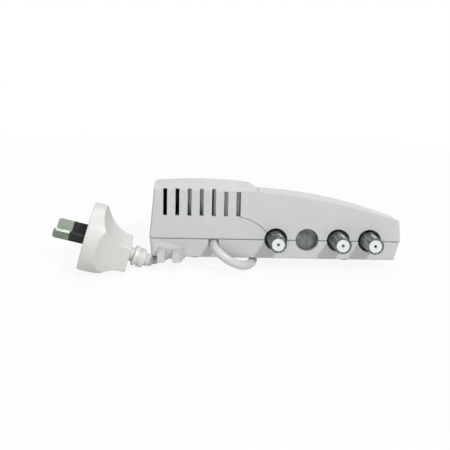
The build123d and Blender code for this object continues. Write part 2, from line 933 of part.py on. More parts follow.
# Coaxial sockets: body, insulator and contact at each fitted place
body_back_y = box_front_y + tail_length
tip_y = front_y - barrel_reach
connector_names = ["input_connector", "output_connector_1", "output_connector_2"]
for name, x in zip(connector_names, socket_xs):
    with BuildPart() as connector:
        with BuildSketch(Plane.YZ.offset(x)) as section:
            with BuildLine():
                Polyline(
                    (body_back_y, parting_z),
                    (body_back_y, parting_z + tail_diameter / 2),
                    (box_front_y, parting_z + tail_diameter / 2),
                    (box_front_y, parting_z + collar_diameter / 2),
                    (front_y - collar_reach, parting_z + collar_diameter / 2),
                    (front_y - barrel_cone_reach, parting_z + barrel_diameter / 2),
                    (tip_y + tip_chamfer, parting_z + barrel_diameter / 2),
                    (tip_y, parting_z + barrel_diameter / 2 - tip_chamfer),
                    (tip_y, parting_z),
                    close=True,
                )
            make_face()
        revolve(axis=Axis((x, 0, parting_z), (0, 1, 0)))
        with BuildSketch(Plane.XZ.offset(-tip_y)):
            with Locations((x, parting_z)):
                Circle(insulator_diameter / 2)
        extrude(amount=tip_y - body_back_y, mode=Mode.SUBTRACT)
    save(connector.part, name)

with BuildPart() as insulators:
    with BuildSketch(Plane.XZ.offset(-tip_y - insulator_recess)):
        with Locations(*[(x, parting_z) for x in socket_xs]):
            Circle(insulator_diameter / 2)
            Circle(contact_diameter / 2, mode=Mode.SUBTRACT)
    extrude(amount=tip_y + insulator_recess - body_back_y)

save(insulators.part, "connector_insulators")

with BuildPart() as contacts:
    for x in socket_xs:
        contact_front = tip_y + insulator_recess + 0.3
        contact_back = rf_board_front + 2.0
        with BuildSketch(Plane.XZ.offset(-contact_front)):
            with Locations((x, parting_z)):
                Circle(contact_diameter / 2)
        extrude(amount=contact_front - body_back_y)
        with BuildSketch(Plane.XZ.offset(-contact_front)):
            with Locations((x, parting_z)):
                Circle(contact_bore / 2)
        extrude(amount=-contact_bore_depth, mode=Mode.SUBTRACT)
        with BuildSketch(Plane.XZ.offset(-body_back_y)):
            with Locations((x, parting_z)):
                Circle(contact_tail_diameter / 2)
        extrude(amount=body_back_y - contact_back)
        with BuildSketch(Plane.XY.offset(rf_board_z + board_thickness)):
            with Locations((x, contact_back - 0.8)):
                Circle(contact_lead_diameter / 2)
        extrude(amount=parting_z - rf_board_z - board_thickness)

save(contacts.part, "connector_contacts")

nut_front_y = box_front_y + sheet
with BuildPart() as washers:
    with BuildSketch(Plane.XZ.offset(-nut_front_y)):
        with Locations(*[(x, parting_z) for x in socket_xs]):
            Circle(washer_diameter / 2)
            Circle(tail_diameter / 2 + screw_fit, mode=Mode.SUBTRACT)
    extrude(amount=-washer_thickness)

save(washers.part, "connector_washers")

with BuildPart() as nuts:
    with BuildSketch(Plane.XZ.offset(-nut_front_y - washer_thickness)):
        with Locations(*[(x, parting_z) for x in socket_xs]):
            RegularPolygon(nut_across_flats / 2, 6, major_radius=False, rotation=30)
            Circle(tail_diameter / 2 + screw_fit, mode=Mode.SUBTRACT)
    extrude(amount=-nut_thickness)

save(nuts.part, "connector_nuts")

# Parts on the radio board
rf_top = rf_board_z + board_thickness
rf_row_y = (rf_board_front + rf_board_back) / 2 + rf_row_back_offset
with BuildPart() as ferrite_cores:
    for x in (port_xs[0] + port_pitch * 0.5, port_xs[1] + port_pitch * 0.4, port_xs[2] + port_pitch * 0.45):
        with BuildSketch(Plane.XY.offset(rf_top)):
            with Locations((x, rf_row_y)):
                Rectangle(ferrite_length, ferrite_width)
        extrude(amount=ferrite_height)
        with BuildSketch(Plane.XZ.offset(-rf_row_y + ferrite_width / 2)):
            with Locations((x, rf_top + ferrite_height / 2)):
                with GridLocations(ferrite_length / 2, 1.0, 2, 1):
                    Circle(ferrite_bore / 2)
        extrude(amount=-ferrite_width, mode=Mode.SUBTRACT)

save(ferrite_cores.part, "ferrite_cores")

with BuildPart() as rf_transistors:
    with BuildSketch(Plane.XY.offset(rf_top)):
        with Locations((port_xs[1] - port_pitch / 6, rf_row_y), (port_xs[2] - port_pitch / 3.6, rf_row_y)):
            Rectangle(rf_transistor_length, rf_transistor_width)
    extrude(amount=rf_transistor_height)

save(rf_transistors.part, "rf_transistors")

with BuildPart() as rf_capacitors:
    with BuildSketch(Plane.XY.offset(rf_top)):
        with Locations((box_center_x, rf_row_y - rf_chip_row_offset)):
            with GridLocations(rf_chip_pitch, 1.0, rf_chip_count, 1):
                Rectangle(rf_chip_length, rf_chip_width)
    extrude(amount=rf_chip_height)

save(rf_capacitors.part, "rf_capacitors")

# Mains transformer: core, bobbin, two windings and its screws
core_z = base_z + core_bottom_height
winding_span = core_width - 2 * core_yoke
coil_half_x = core_leg / 2 + core_window - 0.3
coil_half_z = core_stack / 2 + winding_height
core_middle_z = core_z + core_stack / 2
with BuildPart() as transformer_core:
    with BuildSketch(Plane.XY.offset(core_z)):
        with Locations((core_center_x, core_center_y)):
            Rectangle(core_length, core_width)
            with Locations(
                (core_leg / 2 + core_window / 2, 0),
                (-core_leg / 2 - core_window / 2, 0),
            ):
                Rectangle(core_window, winding_span, mode=Mode.SUBTRACT)
            with GridLocations(2 * core_posts_x, 2 * core_posts_y, 2, 2):
                Circle(screw_diameter / 2 + screw_fit, mode=Mode.SUBTRACT)
    extrude(amount=core_stack)

save(transformer_core.part, "transformer_core")

core_posts = [
    (core_center_x + side_x * core_posts_x, core_center_y + side_y * core_posts_y)
    for side_x in (-1, 1)
    for side_y in (-1, 1)
]
save(
    screw_group(core_posts, core_z + core_stack, core_stack + 5.0, False),
    "transformer_screws",
)

tube_half_x = core_leg / 2 + clearance
tube_half_z = core_stack / 2 + clearance
flange_y = winding_span / 2 - clearance
with BuildPart() as bobbin:
    with BuildSketch(Plane.XZ.offset(-core_center_y + flange_y)):
        with Locations((core_center_x, core_middle_z)):
            Rectangle(2 * (tube_half_x + bobbin_wall), 2 * (tube_half_z + bobbin_wall))
            Rectangle(2 * tube_half_x, 2 * tube_half_z, mode=Mode.SUBTRACT)
    extrude(amount=-2 * flange_y)
    for level in (-flange_y, -bobbin_wall / 2, flange_y - bobbin_wall):
        with BuildSketch(Plane.XZ.offset(-core_center_y - level)):
            with Locations((core_center_x, core_middle_z)):
                Rectangle(2 * coil_half_x, 2 * coil_half_z)
                Rectangle(2 * tube_half_x, 2 * tube_half_z, mode=Mode.SUBTRACT)
        extrude(amount=-bobbin_wall)

save(bobbin.part, "transformer_bobbin")

winding_starts = {
    "primary_winding": -flange_y + bobbin_wall,
    "secondary_winding": bobbin_wall / 2,
}
winding_length = flange_y - 1.5 * bobbin_wall
for name, start in winding_starts.items():
    with BuildPart() as winding:
        with BuildSketch(Plane.XZ.offset(-core_center_y - start)):
            with Locations((core_center_x, core_middle_z)):
                RectangleRounded(2 * coil_half_x - 1.0, 2 * coil_half_z - 1.0, 2.0)
                inner_x = 2 * (tube_half_x + bobbin_wall)
                inner_z = 2 * (tube_half_z + bobbin_wall)
                Rectangle(inner_x, inner_z, mode=Mode.SUBTRACT)
        extrude(amount=-winding_length)
    save(winding.part, name)

# Steel screen between the transformer and the air slots
with BuildPart() as transformer_screen:
    with BuildSketch(Plane.XY.offset(floor_z)):
        with Locations((screen_x, screen_y)):
            Rectangle(screen_width, screen_thickness)
    extrude(amount=screen_height - wall)

save(transformer_screen.part, "transformer_screen")

# Power board and what stands on it
power_z = base_z + power_board_height
power_top = power_z + board_thickness
power_center_x = power_left + power_board_width / 2
with BuildPart() as power_board:
    with BuildSketch(Plane.XY.offset(power_z)):
        with Locations((power_center_x, power_center_y)):
            Rectangle(power_board_width, power_board_depth)
        with Locations(*power_posts):
            Circle(screw_diameter / 2 + screw_fit, mode=Mode.SUBTRACT)
    extrude(amount=board_thickness)

save(power_board.part, "power_board")
save(screw_group(power_posts, power_top, board_thickness + 3.2, False), "power_board_screws")

capacitor_x = power_left + capacitor_left_reach
with BuildPart() as filter_capacitor:
    with BuildSketch(Plane.XY.offset(power_top)):
        with Locations((capacitor_x, power_center_y)):
            Circle(capacitor_diameter / 2)
    extrude(amount=capacitor_height)
    fillet(filter_capacitor.edges().filter_by(GeomType.CIRCLE), 0.8)

save(filter_capacitor.part, "filter_capacitor")

diode_x = capacitor_x + capacitor_diameter / 2 + diode_gap
fuse_y = power_front_y + fuse_setback
diode_radius = diode_diameter / 2
first_diode_y = fuse_y + fuse_diameter / 2 + component_gap + diode_radius
with BuildPart() as rectifier_diodes:
    for step in range(4):
        with BuildSketch(Plane.YZ.offset(diode_x)):
            with Locations((first_diode_y + diode_pitch * step, power_top + diode_radius)):
                Circle(diode_radius)
        extrude(amount=diode_length)

save(rectifier_diodes.part, "rectifier_diodes")

regulator_x = diode_x + diode_length + regulator_gap
sink_y = power_center_y + regulator_back_reach
regulator_y = sink_y - regulator_thickness / 2
with BuildPart() as voltage_regulator:
    with BuildSketch(Plane.XY.offset(power_top + regulator_lead_length)):
        with Locations((regulator_x, regulator_y)):
            Rectangle(regulator_width, regulator_thickness)
    extrude(amount=regulator_height)
    with BuildSketch(Plane.XY.offset(power_top)):
        with Locations((regulator_x, regulator_y)):
            with GridLocations(2.54, 1.0, 3, 1):
                Rectangle(0.8, 0.6)
    extrude(amount=regulator_lead_length)

save(voltage_regulator.part, "voltage_regulator")

with BuildPart() as heat_sink:
    with BuildSketch(Plane.XY.offset(power_top)):
        with Locations((regulator_x, sink_y + heat_sink_thickness / 2)):
            Rectangle(heat_sink_width, heat_sink_thickness)
        with Locations((regulator_x, sink_y + heat_sink_thickness + heat_sink_fin / 2)):
            with GridLocations(heat_sink_width - heat_sink_thickness, 1.0, 2, 1):
                Rectangle(heat_sink_thickness, heat_sink_fin)
    extrude(amount=heat_sink_height)

save(heat_sink.part, "heat_sink")

fuse_left_x = regulator_x - fuse_left_reach
fuse_z = power_top + fuse_height
with BuildPart() as fuse:
    with BuildSketch(Plane.YZ.offset(fuse_left_x)):
        with Locations((fuse_y, fuse_z)):
            Circle(fuse_diameter / 2)
    extrude(amount=fuse_length)

save(fuse.part, "fuse")

with BuildPart() as fuse_clips:
    for x in (fuse_left_x + 1.0, fuse_left_x + fuse_length - clip_length - 1.0):
        with BuildSketch(Plane.YZ.offset(x)):
            with Locations((fuse_y, power_top + clip_height / 2)):
                Rectangle(clip_width, clip_height)
            with Locations((fuse_y, fuse_z)):
                Circle(fuse_diameter / 2 + 0.05, mode=Mode.SUBTRACT)
        extrude(amount=clip_length)

save(fuse_clips.part, "fuse_clips")

# Cord clamp inside the case, over the lead where it comes in
with BuildPart() as cord_clamp:
    with BuildSketch(Plane.XZ.offset(-clamp_y + clamp_width / 2)):
        with Locations((cord_exit_x, clamp_seat_z + clamp_foot_thickness / 2)):
            Rectangle(clamp_length, clamp_foot_thickness)
        with Locations((cord_exit_x, cord_exit_z)):
            Circle(cord_diameter / 2 + clamp_band)
        with Locations((cord_exit_x, clamp_seat_z - clamp_band)):
            Rectangle(clamp_length, 2 * clamp_band, mode=Mode.SUBTRACT)
        with Locations((cord_exit_x, cord_exit_z)):
            Circle(cord_diameter / 2 + 0.05, mode=Mode.SUBTRACT)
        with Locations((cord_exit_x, cord_exit_z - cord_diameter / 4)):
            Rectangle(cord_diameter + 0.1, cord_diameter / 2 + 0.1, mode=Mode.SUBTRACT)
    extrude(amount=-clamp_width)
    with BuildSketch(Plane.XY.offset(clamp_seat_z)):
        with Locations(*clamp_posts):
            Circle(screw_diameter / 2 + screw_fit)
    extrude(amount=clamp_foot_thickness, mode=Mode.SUBTRACT)

save(cord_clamp.part, "cord_clamp")
clamp_head_z = clamp_seat_z + clamp_foot_thickness
clamp_screw_length = clamp_foot_thickness + clamp_screw_bite
save(screw_group(clamp_posts, clamp_head_z, clamp_screw_length, False), "clamp_screws")

stub_end_y = front_y + clamp_setback + clamp_width + 0.4
with BuildPart() as cord_inner_end:
    with BuildSketch(Plane.XZ.offset(-front_y)):
        with Locations((cord_exit_x, cord_exit_z)):
            Circle(cord_diameter / 2)
    extrude(amount=-(stub_end_y - front_y))

save(cord_inner_end.part, "cord_inner_end")


def path_radii(points, diameter, name=""):
    """Arc radius at each corner: 0.45 of the shorter run over the tangent of half the turn."""
    vectors = [Vector(*point) for point in points]
    radii = []
    for before, corner, after in zip(vectors, vectors[1:], vectors[2:]):
        first, second = corner - before, after - corner
        half_turn = math.radians(first.get_angle(second) / 2)
        radii.append(0.45 * min(first.length, second.length) / math.tan(half_turn))
    if name:
        print(name, "radii", [round(radius, 1) for radius in radii])
        print(name, "least radius in diameters", round(min(radii) / diameter, 1))
    return radii


def tube(points, diameter, name=""):
    """Round tube along straight runs joined by tangent arcs; a named one is measured."""
    with BuildPart() as hose:
        with BuildLine() as path:
            FilletPolyline(*points, radius=path_radii(points, diameter, name))
        start = path.wires()[0]
        with BuildSketch(Plane(start @ 0, z_dir=start % 0)):
            Circle(diameter / 2)
        sweep(path=start)
    if name:
        expected = math.pi * diameter * diameter / 4 * start.length
        print(name, "length", round(start.length, 1), "volume ratio",
              round(hose.part.volume / expected, 4))
    return hose.part


# Inner wiring: mains cores to the front of the bobbin, low voltage from its back to the board
wire_z = core_z + core_stack + 3.4
bobbin_front_y = core_center_y - flange_y
bobbin_back_y = core_center_y + flange_y
with BuildPart() as mains_wiring:
    for side in (-1, 1):
        wire_x = cord_exit_x + side * 1.2
        rise_y = stub_end_y + 2.0
        add(tube(
            [
                (wire_x, stub_end_y, cord_exit_z),
                (wire_x, rise_y, cord_exit_z),
                (wire_x, rise_y, wire_z),
                (wire_x, bobbin_front_y, wire_z),
            ],
            wire_diameter,
        ))

save(mains_wiring.part, "mains_wiring")

pad_x = power_left + 2.6
with BuildPart() as secondary_wiring:
    for index in (0, 1):
        wire_x = core_center_x + 8.0 - 3.0 * index
        pad_y = power_center_y - 1.0 + 4.0 * index
        add(tube(
            [
                (wire_x, bobbin_back_y, wire_z),
                (wire_x, bobbin_back_y + 2.5 * (1 + index), wire_z),
                (seam_x + 1.0, pad_y, wire_z),
                (pad_x, pad_y, power_top + 8.0),
                (pad_x, pad_y, power_top),
            ],
            wire_diameter,
        ))

save(secondary_wiring.part, "secondary_wiring")

# Free mains lead: from the notch, round and under the base, to a coil behind the case
table_z = cord_diameter / 2
lead_points = [
    (cord_exit_x, front_y, cord_exit_z),
    (cord_exit_x, front_y - 5.2, cord_exit_z),
    (cord_exit_x + 3.0, front_y - 8.4, cord_exit_z - 2.2),
    (cord_exit_x + 8.8, front_y - 9.6, 7.8),
    (cord_exit_x + 16.0, front_y - 6.6, 4.1),
    (cord_exit_x + 21.6, front_y - 0.6, 2.9),
    (cord_exit_x + 24.1, front_y + 8.5, table_z),
    (cord_exit_x + 24.9, front_y + 22.0, table_z),
    (cord_exit_x + 29.0, front_y + 40.0, table_z),
    (4.0, front_y + 58.0, table_z),
    (13.0, front_y + 76.0, table_z),
    (13.0, front_y + 92.0, table_z),
]
lead_end = lead_points[-1]
save(tube(lead_points, cord_diameter, "cord_lead"), "cord_lead")

# Coil: spirals in on the table, climbs one layer and spirals out again on top
coil_outer_radius = 35.5
coil_pitch = cord_diameter + 0.55
coil_layer_rise = cord_diameter + 0.5
coil_half_turns = 11
coil_center = (lead_end[0] - coil_outer_radius, lead_end[1] + cord_diameter)


def coil_point(half_turns):
    """Point of the coil after a number of half turns."""
    inward = min(half_turns, coil_half_turns - half_turns)
    radius = coil_outer_radius - coil_pitch * inward / 2
    climb = min(max(half_turns - coil_half_turns / 2 + 0.5, 0.0), 1.0)
    climb = climb * climb * (3 - 2 * climb)
    angle = math.pi * half_turns
    return Vector(
        coil_center[0] + radius * math.cos(angle),
        coil_center[1] + radius * math.sin(angle),
        table_z + coil_layer_rise * climb,
    )


def coil_state(half_turns):
    """Point and direction on the coil; its two ends head straight out along Y."""
    if half_turns in (0, coil_half_turns):
        ahead = Vector(0, 1, 0) if half_turns == 0 else Vector(0, -1, 0)
    else:
        ahead = coil_point(half_turns + 0.02) - coil_point(half_turns - 0.02)
    return coil_point(half_turns), ahead.normalized()


def biarc_joint(start, start_dir, end, end_dir):
    """Point where two arcs tangent to the given directions meet."""
    chord = end - start
    total = start_dir + end_dir
    a = 2 * (1 - start_dir.dot(end_dir))
    b = 2 * chord.dot(total)
    c = -chord.dot(chord)
    reach = (-b + math.sqrt(b * b - 4 * a * c)) / (2 * a)
    return (start + end + (start_dir - end_dir) * reach) * 0.5


with BuildPart() as cord_coil:
    with BuildLine() as coil_path:
        start, direction = coil_state(0)
        Line(start - direction * cord_diameter, start)
        for step in range(2 * coil_half_turns):
            start, start_dir = coil_state(step / 2)
            end, end_dir = coil_state(step / 2 + 0.5)
            joint = biarc_joint(start, start_dir, end, end_dir)
            first = TangentArc(start, joint, tangent=start_dir)
            TangentArc(joint, end, tangent=first % 1)
        coil_end, coil_end_dir = coil_state(coil_half_turns)
        Line(coil_end, coil_end + coil_end_dir * cord_diameter)
    coil_wire = coil_path.wires()[0]
    with BuildSketch(Plane(coil_wire @ 0, z_dir=coil_wire % 0)):
        Circle(cord_diameter / 2)
    sweep(path=coil_wire)

coil_samples = 720
coil_track = [coil_wire @ (index / coil_samples) for index in range(coil_samples + 1)]
step_length = coil_wire.length / coil_samples
skip = int(2.5 * cord_diameter / step_length) + 1
least_gap = min(
    (coil_track[i] - coil_track[j]).length
    for i in range(len(coil_track))
    for j in range(i + skip, len(coil_track))
) - cord_diameter
print("cord_coil length", round(coil_wire.length, 1), "least gap to itself", round(least_gap, 2))
print("cord_coil volume ratio",
      round(cord_coil.part.volume / (math.pi * cord_diameter ** 2 / 4 * coil_wire.length), 4))
save(cord_coil.part, "cord_coil")

# Plug frame: X up across the flange, Y out towards the viewer, Z from the pins to the cord
pitch = math.radians(plug_pitch_angle)
yaw = math.radians(plug_yaw_angle)
plug_axis = Vector(
    math.cos(pitch) * math.cos(yaw),
    math.cos(pitch) * math.sin(yaw),
    -math.sin(pitch),
)
plug_level = Vector(math.sin(yaw), -math.cos(yaw), 0)
plug_up = plug_level.cross(plug_axis).rotate(Axis((0, 0, 0), plug_axis), plug_roll_angle)
plug_frame = Plane(
    origin=(-half_length - plug_reach, front_y - plug_front, plug_z),
    x_dir=plug_up,
    z_dir=plug_axis,
)


def plug_point(up, across, along):
    """Row position of a point given in the plug frame."""
    return plug_frame.from_local_coords(Vector(up, across, along))


side_plane = Plane(origin=plug_frame.origin, x_dir=plug_axis, z_dir=plug_frame.y_dir)
top_plane = Plane(origin=plug_frame.origin, x_dir=plug_axis, z_dir=plug_up)
flange_radius = flange_diameter / 2
rim_z = flange_thickness
neck_top = -neck_drop + neck_height / 2
neck_bottom = -neck_drop - neck_height / 2


with BuildPart() as plug_body:
    with BuildSketch(side_plane):
        with BuildLine():
            Polyline((rim_z, flange_radius), (0, flange_radius), (0, -flange_radius),
                     (rim_z + flange_foot, -flange_radius))
            ThreePointArc(
                (rim_z + flange_foot, -flange_radius),
                (rim_z + 7.0, neck_bottom - 1.5),
                (neck_distance, neck_bottom),
            )
            Line((neck_distance, neck_bottom), (neck_distance, neck_top))
            ThreePointArc(
                (neck_distance, neck_top),
                (rim_z + 7.6, neck_top + 3.6),
                (rim_z, flange_radius),
            )
        make_face()
    extrude(amount=flange_radius, both=True)
    with BuildSketch(top_plane):
        with BuildLine():
            Polyline((rim_z, flange_radius), (0, flange_radius), (0, -flange_radius),
                     (rim_z, -flange_radius))
            ThreePointArc(
                (rim_z, -flange_radius),
                (rim_z + 6.4, -neck_depth / 2 - 3.2),
                (neck_distance, -neck_depth / 2),
            )
            Line((neck_distance, -neck_depth / 2), (neck_distance, neck_depth / 2))
            ThreePointArc(
                (neck_distance, neck_depth / 2),
                (rim_z + 6.4, neck_depth / 2 + 3.2),
                (rim_z, flange_radius),
            )
        make_face()
    extrude(amount=2 * flange_radius, both=True, mode=Mode.INTERSECT)
    with BuildSketch(plug_frame):
        Circle(flange_radius)
    extrude(amount=neck_distance, mode=Mode.INTERSECT)
    # Sockets for the moulded-in ends of the pins
    for side in (-1, 1):
        with BuildSketch(plug_frame):
            with Locations((0, side * pin_spacing / 2)):
                Rectangle(pin_width, pin_thickness, rotation=side * pin_angle)
        extrude(amount=pin_root, mode=Mode.SUBTRACT)

save(plug_body.part, "plug_body")

core_pin_width = pin_width - 2 * pin_sleeve_wall
core_pin_thickness = pin_thickness - 2 * pin_sleeve_wall
with BuildPart() as plug_pins:
    for side in (-1, 1):
        with BuildSketch(plug_frame.offset(-pin_length)):
            with Locations((0, side * pin_spacing / 2)):
                Rectangle(pin_width, pin_thickness, rotation=side * pin_angle)
        extrude(amount=pin_length - pin_sleeve_length)
        with BuildSketch(plug_frame.offset(-pin_sleeve_length)):
            with Locations((0, side * pin_spacing / 2)):
                Rectangle(core_pin_width, core_pin_thickness, rotation=side * pin_angle)
        extrude(amount=pin_sleeve_length)
        with BuildSketch(plug_frame):
            with Locations((0, side * pin_spacing / 2)):
                Rectangle(pin_width, pin_thickness, rotation=side * pin_angle)
        extrude(amount=pin_root)
    tip_corners = plug_pins.edges().filter_by(
        lambda edge: abs(plug_frame.to_local_coords(edge.center()).Z + pin_length) < 0.01
        and abs(edge.length - pin_thickness) < 0.01
    )
    fillet(tip_corners, pin_tip_radius)

save(plug_pins.part, "plug_pins")

with BuildPart() as pin_sleeves:
    for side in (-1, 1):
        with BuildSketch(plug_frame.offset(-pin_sleeve_length)):
            with Locations((0, side * pin_spacing / 2)):
                Rectangle(pin_width, pin_thickness, rotation=side * pin_angle)
                Rectangle(core_pin_width, core_pin_thickness, rotation=side * pin_angle,
                          mode=Mode.SUBTRACT)
        extrude(amount=pin_sleeve_length)

save(pin_sleeves.part, "pin_sleeves")

# Ribbed strain relief: rings on a root that tapers to the cord, bending down to the table
relief_start = plug_point(-neck_drop, 0, neck_distance)
relief_end = Vector(-half_length + 0.2, front_y + 0.95, 3.7)
relief_end_dir = Vector(0.62, 0.74, -0.28).normalized()
relief_root_diameter = 7.8
relief_tip_diameter = 6.0
relief_groove_diameter = 9.2
relief_rib_diameter = 11.4
relief_last_rib_diameter = 7.4


def relief_state(share):
    """Centre and direction of the strain relief at a share of its length."""
    reach = (relief_end - relief_start).length / 3
    p0 = relief_start
    p1 = p0 + plug_axis * reach
    p3 = relief_end
    p2 = p3 - relief_end_dir * reach
    rest = 1 - share
    near = p0 * rest ** 3 + p1 * (3 * rest ** 2 * share)
    far = p2 * (3 * rest * share ** 2) + p3 * share ** 3
    slope = (p1 - p0) * rest ** 2 + (p2 - p1) * (2 * rest * share) + (p3 - p2) * share ** 2
    return near + far, slope.normalized()


# Each ring is (start share, end share, diameter at its start, diameter at its end)
relief_rings = [
    (0.0, 0.20, relief_root_diameter, relief_root_diameter),
    (0.20, 0.36, relief_rib_diameter, relief_rib_diameter - 0.1),
    (0.36, 0.46, relief_groove_diameter, relief_groove_diameter),
    (0.46, 0.64, relief_rib_diameter - 0.4, relief_rib_diameter - 0.8),
    (0.64, 0.74, relief_root_diameter - 0.8, relief_tip_diameter),
    (0.74, 1.0, relief_last_rib_diameter, relief_last_rib_diameter - 0.6),
]


def relief_section(share, diameter):
    """Round section of the strain relief at a share of its length."""
    center, slope = relief_state(share)
    with BuildSketch(Plane(center, z_dir=slope)) as ring:
        Circle(diameter / 2)
    return ring.sketch.face()


with BuildPart() as plug_strain_relief:
    for start_share, end_share, start_diameter, end_diameter in relief_rings:
        first = relief_section(start_share, start_diameter)
        loft([first, relief_section(end_share, end_diameter)], ruled=True)

save(plug_strain_relief.part, "plug_strain_relief")

# Tail: from the coil's top layer down to the table, under the base and up to the plug
coil_exit = coil_end + coil_end_dir * cord_diameter
tail_x = -half_length + 14.2
tail_points = [
    tuple(coil_exit),
    (coil_exit.X, coil_exit.Y - 9.0, coil_exit.Z),
    (coil_exit.X - 0.6, coil_exit.Y - 20.0, 5.0),
    (tail_x - 0.2, front_y + 60.0, table_z),
    (tail_x - 0.8, front_y + 45.0, table_z),
    (tail_x, front_y + 33.0, table_z),
    (tail_x - 1.0, front_y + 22.0, table_z),
    (tail_x - 5.0, front_y + 12.0, table_z),
    tuple(relief_end + relief_end_dir * 4.2),
    tuple(relief_end),
]
save(tube(tail_points, cord_diameter, "cord_tail"), "cord_tail")
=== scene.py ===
"""Looks of the indoor television signal amplifier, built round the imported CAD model, in metres."""
import math

import bmesh
import bpy
from mathutils import Matrix, Vector


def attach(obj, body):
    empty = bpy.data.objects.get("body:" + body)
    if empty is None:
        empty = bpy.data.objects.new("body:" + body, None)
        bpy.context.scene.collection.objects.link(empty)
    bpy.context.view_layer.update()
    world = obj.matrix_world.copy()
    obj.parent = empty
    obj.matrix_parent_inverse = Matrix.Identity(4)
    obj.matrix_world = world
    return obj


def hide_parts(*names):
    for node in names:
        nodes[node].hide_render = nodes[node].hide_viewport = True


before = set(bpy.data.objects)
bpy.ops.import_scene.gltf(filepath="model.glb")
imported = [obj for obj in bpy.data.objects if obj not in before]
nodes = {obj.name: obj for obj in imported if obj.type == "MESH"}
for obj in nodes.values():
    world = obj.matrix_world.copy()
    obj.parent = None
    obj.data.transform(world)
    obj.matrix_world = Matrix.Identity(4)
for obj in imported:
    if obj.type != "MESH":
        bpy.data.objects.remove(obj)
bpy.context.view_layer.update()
MM = 0.001

# Sizes and places shared with the model's source, in millimetres
FRONT_Y = -27.75
PARTING_Z = 17.4
SOCKET_XS = (0.5, 36.5, 54.5)
BARREL_REACH = 9.5
CORD_DIAMETER = 5.0
COIL_CENTER = (-22.5, 69.25)
COIL_RADIUS = 35.5
COIL_PITCH = 5.55
COIL_RISE = 5.5
COIL_HALF_TURNS = 11
COIL_POINTS_PER_HALF = 8

# Relief of the surfaces, in metres
GRAIN_DEPTH = 0.00004
MARK_DEPTH = 0.00003
LAMINATION_DEPTH = 0.00005
WIRE_DEPTH = 0.0001
TRACK_DEPTH = 0.0001
# Heights of the transformer screen between its painted shade at the foot and its painted light at
# the top
SCREEN_SHADE_FOOT_Z = 0.026
SCREEN_LIT_TOP_Z = 0.046

# Shading of the dressed pieces
WELD_DISTANCE = 0.000002
CASE_SHARP_ANGLE = 12.0
THREAD_SHARP_ANGLE = 35.0
CASE_EDGE_RADIUS = 0.0003


# Materials
def new_material(name):
    """Material with its node tree and surface shader."""
    material = bpy.data.materials.new(name)
    material.use_nodes = True
    tree = material.node_tree
    shader = tree.nodes["Principled BSDF"]
    return material, tree, shader


def noise(tree, scale, detail=3.0, roughness=0.5, stretch=None):
    """Noise texture over object coordinates in metres, stretched along chosen axes if asked."""
    coords = tree.nodes.new("ShaderNodeTexCoord").outputs["Object"]
    if stretch is not None:
        mapping = tree.nodes.new("ShaderNodeMapping")
        mapping.inputs["Scale"].default_value = stretch
        tree.links.new(coords, mapping.inputs["Vector"])
        coords = mapping.outputs["Vector"]
    texture = tree.nodes.new("ShaderNodeTexNoise")
    texture.inputs["Scale"].default_value = scale
    texture.inputs["Detail"].default_value = detail
    texture.inputs["Roughness"].default_value = roughness
    tree.links.new(coords, texture.inputs["Vector"])
    return texture.outputs["Fac"]


def ramp(tree, value, low, high, start=0.3, end=0.7):
    """Colours or greys between two values of a texture."""
    node = tree.nodes.new("ShaderNodeValToRGB")
    for element, place, color in zip(node.color_ramp.elements, (start, end), (low, high)):
        element.position = place
        element.color = (*color, 1.0) if isinstance(color, tuple) else (color, color, color, 1.0)
    tree.links.new(value, node.inputs["Fac"])
    return node.outputs["Color"]


def bump(tree, shader, height, strength, distance, edge=0.0):
    """Fine relief on a surface; with an edge radius, its corners are shaded as rounded."""
    node = tree.nodes.new("ShaderNodeBump")
    if edge > 0:
        rounding = tree.nodes.new("ShaderNodeBevel")
        rounding.samples = 6
        rounding.inputs["Radius"].default_value = edge
        tree.links.new(rounding.outputs["Normal"], node.inputs["Normal"])
    node.inputs["Strength"].default_value = strength
    node.inputs["Distance"].default_value = distance
    tree.links.new(height, node.inputs["Height"])
    tree.links.new(node.outputs["Normal"], shader.inputs["Normal"])


def moulded(name, color, roughness, grain_scale=2600.0, grain=0.25, spread=0.025, edge=0.0):
    """Moulded plastic: slow colour drift, fine spark-eroded grain and uneven gloss."""
    material, tree, shader = new_material(name)
    dark = tuple(max(c * (1 - spread), 0.0) for c in color)
    light = tuple(min(c * (1 + spread), 1.0) for c in color)
    drift = noise(tree, 55.0, 4.0, 0.55)
    tree.links.new(ramp(tree, drift, dark, light), shader.inputs["Base Color"])
    gloss = noise(tree, 320.0, 3.0, 0.6)
    tree.links.new(
        ramp(tree, gloss, roughness * 0.88, roughness * 1.12), shader.inputs["Roughness"]
    )
    grains = noise(tree, grain_scale, 2.0, 0.5)
    bump(tree, shader, grains, grain, GRAIN_DEPTH, edge)
    return material


def metal(name, color, roughness, stretch=None, wear_and_reflection=0.15, scale=900.0, shine=1.0):
    """Metal with drawn or turned marks and a slightly uneven tint; where the marks darken it
    strongly, as on the nickel barrels, they are painted reflection streaks as well.
    """
    material, tree, shader = new_material(name)
    darkened = tuple(c * (1 - wear_and_reflection) for c in color)
    marks = noise(tree, scale, 4.0, 0.65, stretch=stretch)
    tree.links.new(ramp(tree, marks, darkened, tuple(color)), shader.inputs["Base Color"])
    tree.links.new(
        ramp(tree, marks, min(roughness * 1.35, 1.0), roughness * 0.8), shader.inputs["Roughness"]
    )
    shader.inputs["Metallic"].default_value = shine
    bump(tree, shader, marks, 0.1, MARK_DEPTH)
    return material


